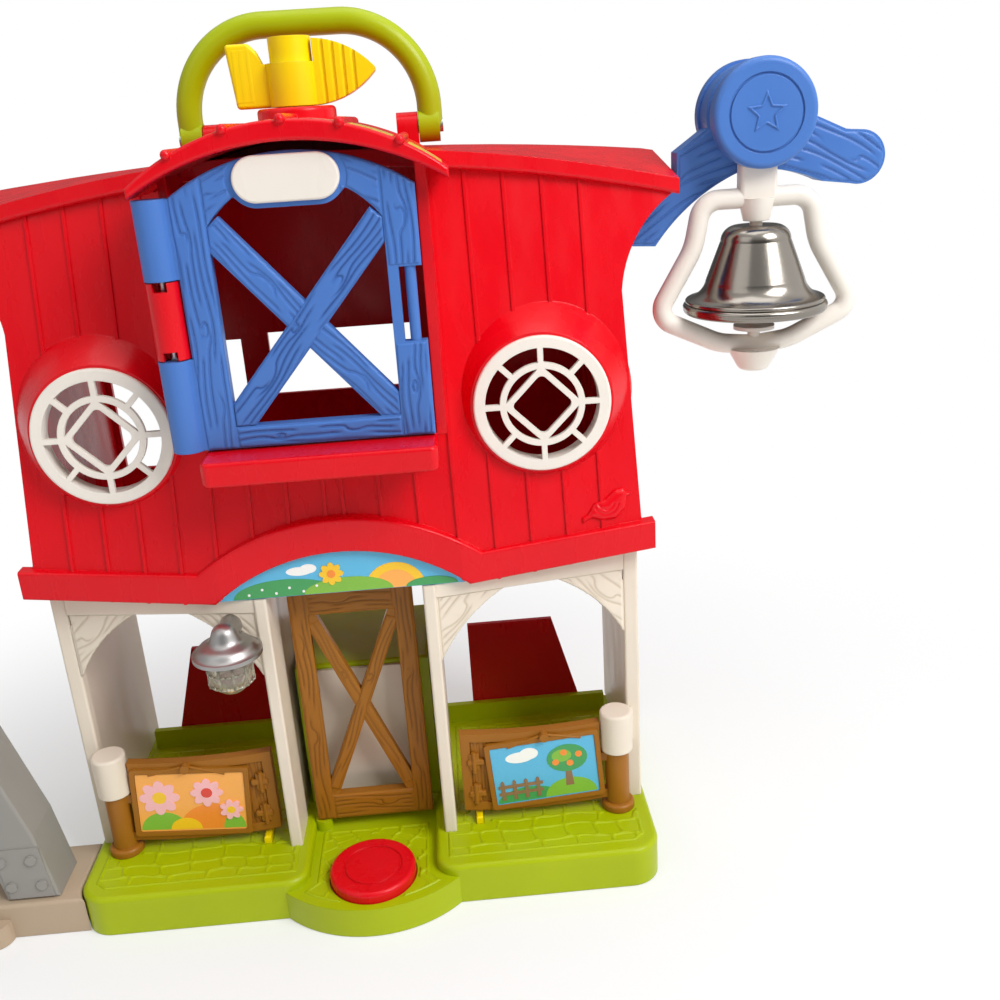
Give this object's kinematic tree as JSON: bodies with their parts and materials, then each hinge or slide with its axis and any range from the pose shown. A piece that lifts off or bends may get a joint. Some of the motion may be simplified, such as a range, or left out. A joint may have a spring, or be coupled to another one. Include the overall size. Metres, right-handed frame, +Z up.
{
  "type": "toy barn",
  "caption": "Toy barn with opening loft door, barn door and stall gates, round windows, carry handle, turning vane and swinging bell.",
  "frame": {"origin": "on the floor under the base, in the middle of the straight front edge of the base", "axes": "+X to the barn's right seen from its front, +Y into the barn, +Z up"},
  "size_m": [0.4264, 0.1405, 0.3434],
  "materials": {
    "lime_plastic": "moulded ABS, satin lime green",
    "red_plastic": "moulded ABS, glossy red",
    "maroon_plastic": "moulded ABS, dark red",
    "cream_plastic": "moulded ABS, satin cream",
    "brown_plastic": "moulded ABS with wood grain pressed in",
    "blue_plastic": "moulded ABS with wood grain pressed in",
    "yellow_plastic": "moulded polypropylene, yellow",
    "white_plastic": "moulded ABS, warm white",
    "silver_plastic": "ABS sprayed silver",
    "clear_plastic": "clear moulded polystyrene",
    "bell_chrome": "chrome-plated bell",
    "steel": "zinc-plated steel",
    "grey_plastic": "moulded ABS, blue grey",
    "beige_plastic": "moulded ABS, warm beige",
    "printed_label": "printed film label",
    "board_green": "fibreglass circuit board",
    "black_plastic": "black moulded plastic and paper cone",
    "cell_jacket": "steel cell with a plain dark sleeve"
  },
  "bodies": {
    "barn": {"base_tray": "lime_plastic", "base_cover": "lime_plastic", "base_screws": "steel", "speaker": "black_plastic", "button_switch": "board_green", "button_spring": "steel", "stall_frame_right": "cream_plastic", "stall_frame_left": "cream_plastic", "stall_panel_right": "maroon_plastic", "stall_panel_left": "maroon_plastic", "sound_housing": "lime_plastic", "housing_panel": "cream_plastic", "circuit_board": "board_green", "battery_tray": "black_plastic", "batteries": "cell_jacket", "battery_contacts": "steel", "battery_door": "lime_plastic", "battery_door_screw": "steel", "door_header": "brown_plastic", "lantern_cap": "silver_plastic", "lantern_globe": "clear_plastic", "roof": "red_plastic", "dormer_roof": "red_plastic", "front_wall": "red_plastic", "loft_floor": "red_plastic", "side_wall_right": "red_plastic", "side_wall_left": "red_plastic", "back_wall": "red_plastic", "arch_sign": "printed_label", "window_right": "white_plastic", "window_left": "white_plastic", "loft_hinge_pin": "steel", "vane_axle": "steel", "handle_pins": "steel", "bell_arm": "blue_plastic", "arm_screws": "steel", "arm_front_disc": "blue_plastic", "arm_back_disc": "blue_plastic", "bell_pivot_pin": "steel", "yard_base": "beige_plastic", "yard_tower": "grey_plastic", "tower_bolts": "grey_plastic"},
    "button": {"button": "red_plastic"},
    "left_key": {"gate_key_left": "yellow_plastic"},
    "right_key": {"gate_key_right": "yellow_plastic"},
    "right_gate": {"gate_right": "brown_plastic", "gate_picture_right": "printed_label"},
    "left_gate": {"gate_left": "brown_plastic", "gate_picture_left": "printed_label"},
    "barn_door": {"barn_door": "brown_plastic"},
    "loft_door": {"loft_door": "blue_plastic", "loft_door_plaque": "white_plastic"},
    "weathervane": {"weather_vane": "yellow_plastic"},
    "handle": {"handle": "lime_plastic"},
    "yoke": {"bell_yoke": "white_plastic"},
    "bell": {"bell": "bell_chrome"}
  },
  "joints": [
    {"name": "button_press", "type": "slide", "parent": "barn", "child": "button", "axis": [0, 0, -1], "range_m": [0, 0.0025], "stiffness_N_per_m": 400, "springref_m": -0.0015, "deforming": ["button_spring"]},
    {"name": "left_key_press", "type": "slide", "parent": "barn", "child": "left_key", "axis": [0, 0, -1], "range_m": [0, 0.002], "stiffness_N_per_m": 120, "springref_m": -0.0015},
    {"name": "right_key_press", "type": "slide", "parent": "barn", "child": "right_key", "axis": [0, 0, -1], "range_m": [0, 0.002], "stiffness_N_per_m": 120, "springref_m": -0.0015},
    {"name": "right_gate_swing", "type": "hinge", "parent": "barn", "child": "right_gate", "pos_m": [0.105, 0.031, 0.04], "axis": [0, 0, 1], "range_deg": [-80, 90]},
    {"name": "left_gate_swing", "type": "hinge", "parent": "barn", "child": "left_gate", "pos_m": [-0.105, 0.031, 0.04], "axis": [0, 0, 1], "range_deg": [-90, 80]},
    {"name": "barn_door_swing", "type": "hinge", "parent": "barn", "child": "barn_door", "pos_m": [-0.02275, 0.04025, 0.073], "axis": [0, 0, 1], "range_deg": [-85, 0]},
    {"name": "loft_door_swing", "type": "hinge", "parent": "barn", "child": "loft_door", "pos_m": [-0.0466, 0.0152, 0.24], "axis": [0, 0, 1], "range_deg": [-105, 0]},
    {"name": "vane_spin", "type": "hinge", "parent": "barn", "child": "weathervane", "pos_m": [0, 0.058, 0.315], "axis": [0, 0, 1], "continuous": true},
    {"name": "handle_fold", "type": "hinge", "parent": "barn", "child": "handle", "pos_m": [0, 0.103, 0.298], "axis": [1, 0, 0], "range_deg": [-85, 0]},
    {"name": "yoke_swing", "type": "hinge", "parent": "barn", "child": "yoke", "pos_m": [0.1693, 0.062, 0.295], "axis": [0, 1, 0], "range_deg": [-25, 12]},
    {"name": "bell_spin", "type": "hinge", "parent": "yoke", "child": "bell", "pos_m": [0.1693, 0.062, 0.24], "axis": [0, 0, 1], "continuous": true}
  ]
}
